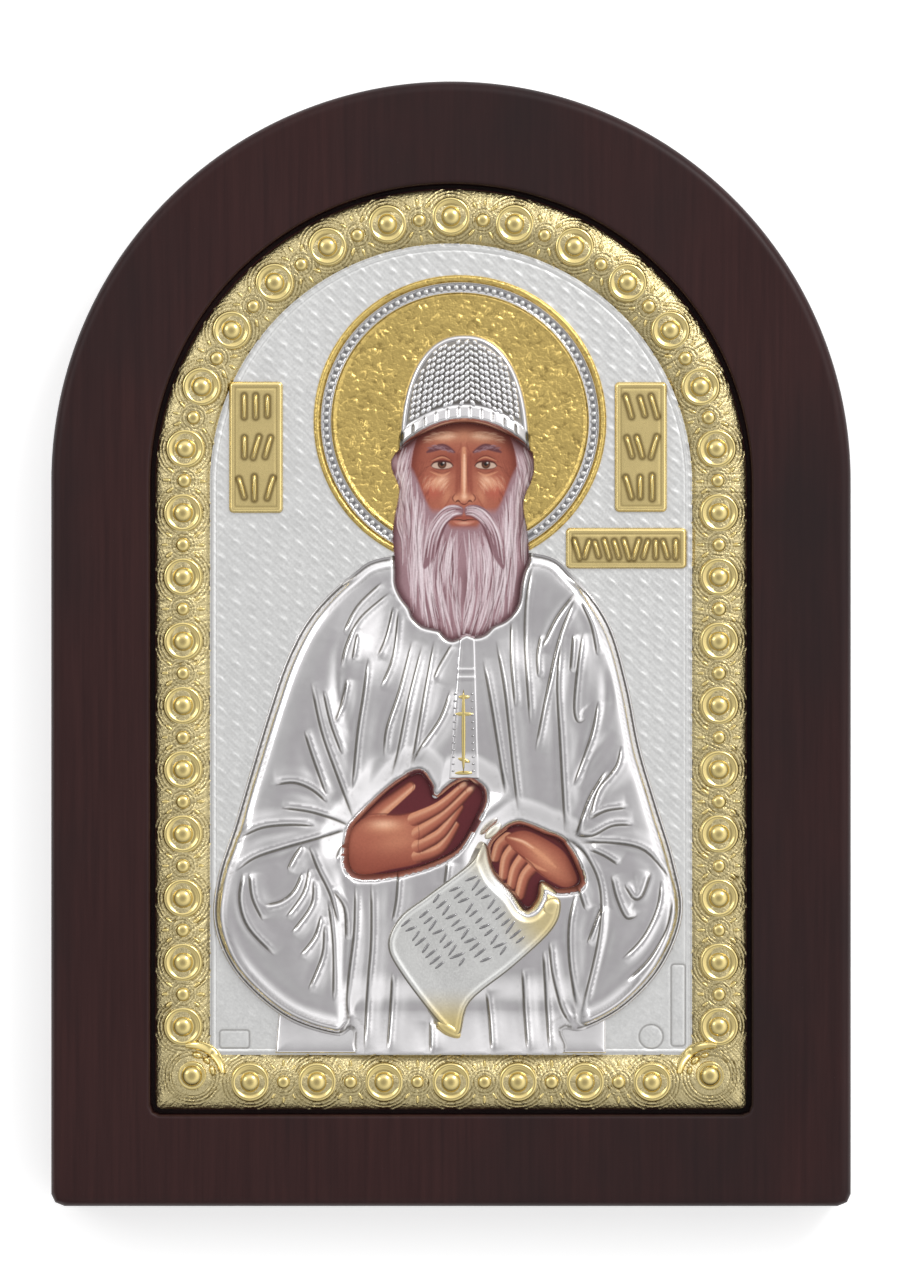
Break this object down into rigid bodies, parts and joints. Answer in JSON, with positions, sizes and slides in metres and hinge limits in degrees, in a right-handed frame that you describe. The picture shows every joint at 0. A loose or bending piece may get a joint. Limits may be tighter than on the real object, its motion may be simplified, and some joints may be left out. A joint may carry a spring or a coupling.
{
  "type": "icon panel",
  "caption": "Arched wooden icon panel with a painted head and hands showing through the windows of a stamped silver cover with a gilt border, halo and name plates.",
  "frame": {"origin": "under the middle of the board, on the plane of its back face", "axes": "+Z out of the picture's front, +Y to the top of the arch, +X to the viewer's right"},
  "size_m": [0.15, 0.211, 0.019],
  "materials": {
    "wood": "satin dark mahogany lacquer with faint grain",
    "paint": "painted picture under satin varnish",
    "silver": "polished and matted silver",
    "gilt": "antique gilding on stamped silver"
  },
  "bodies": {
    "root": {"wooden_board": "wood", "painted_panel": "paint", "silver_cover": "silver"}
  },
  "joints": []
}
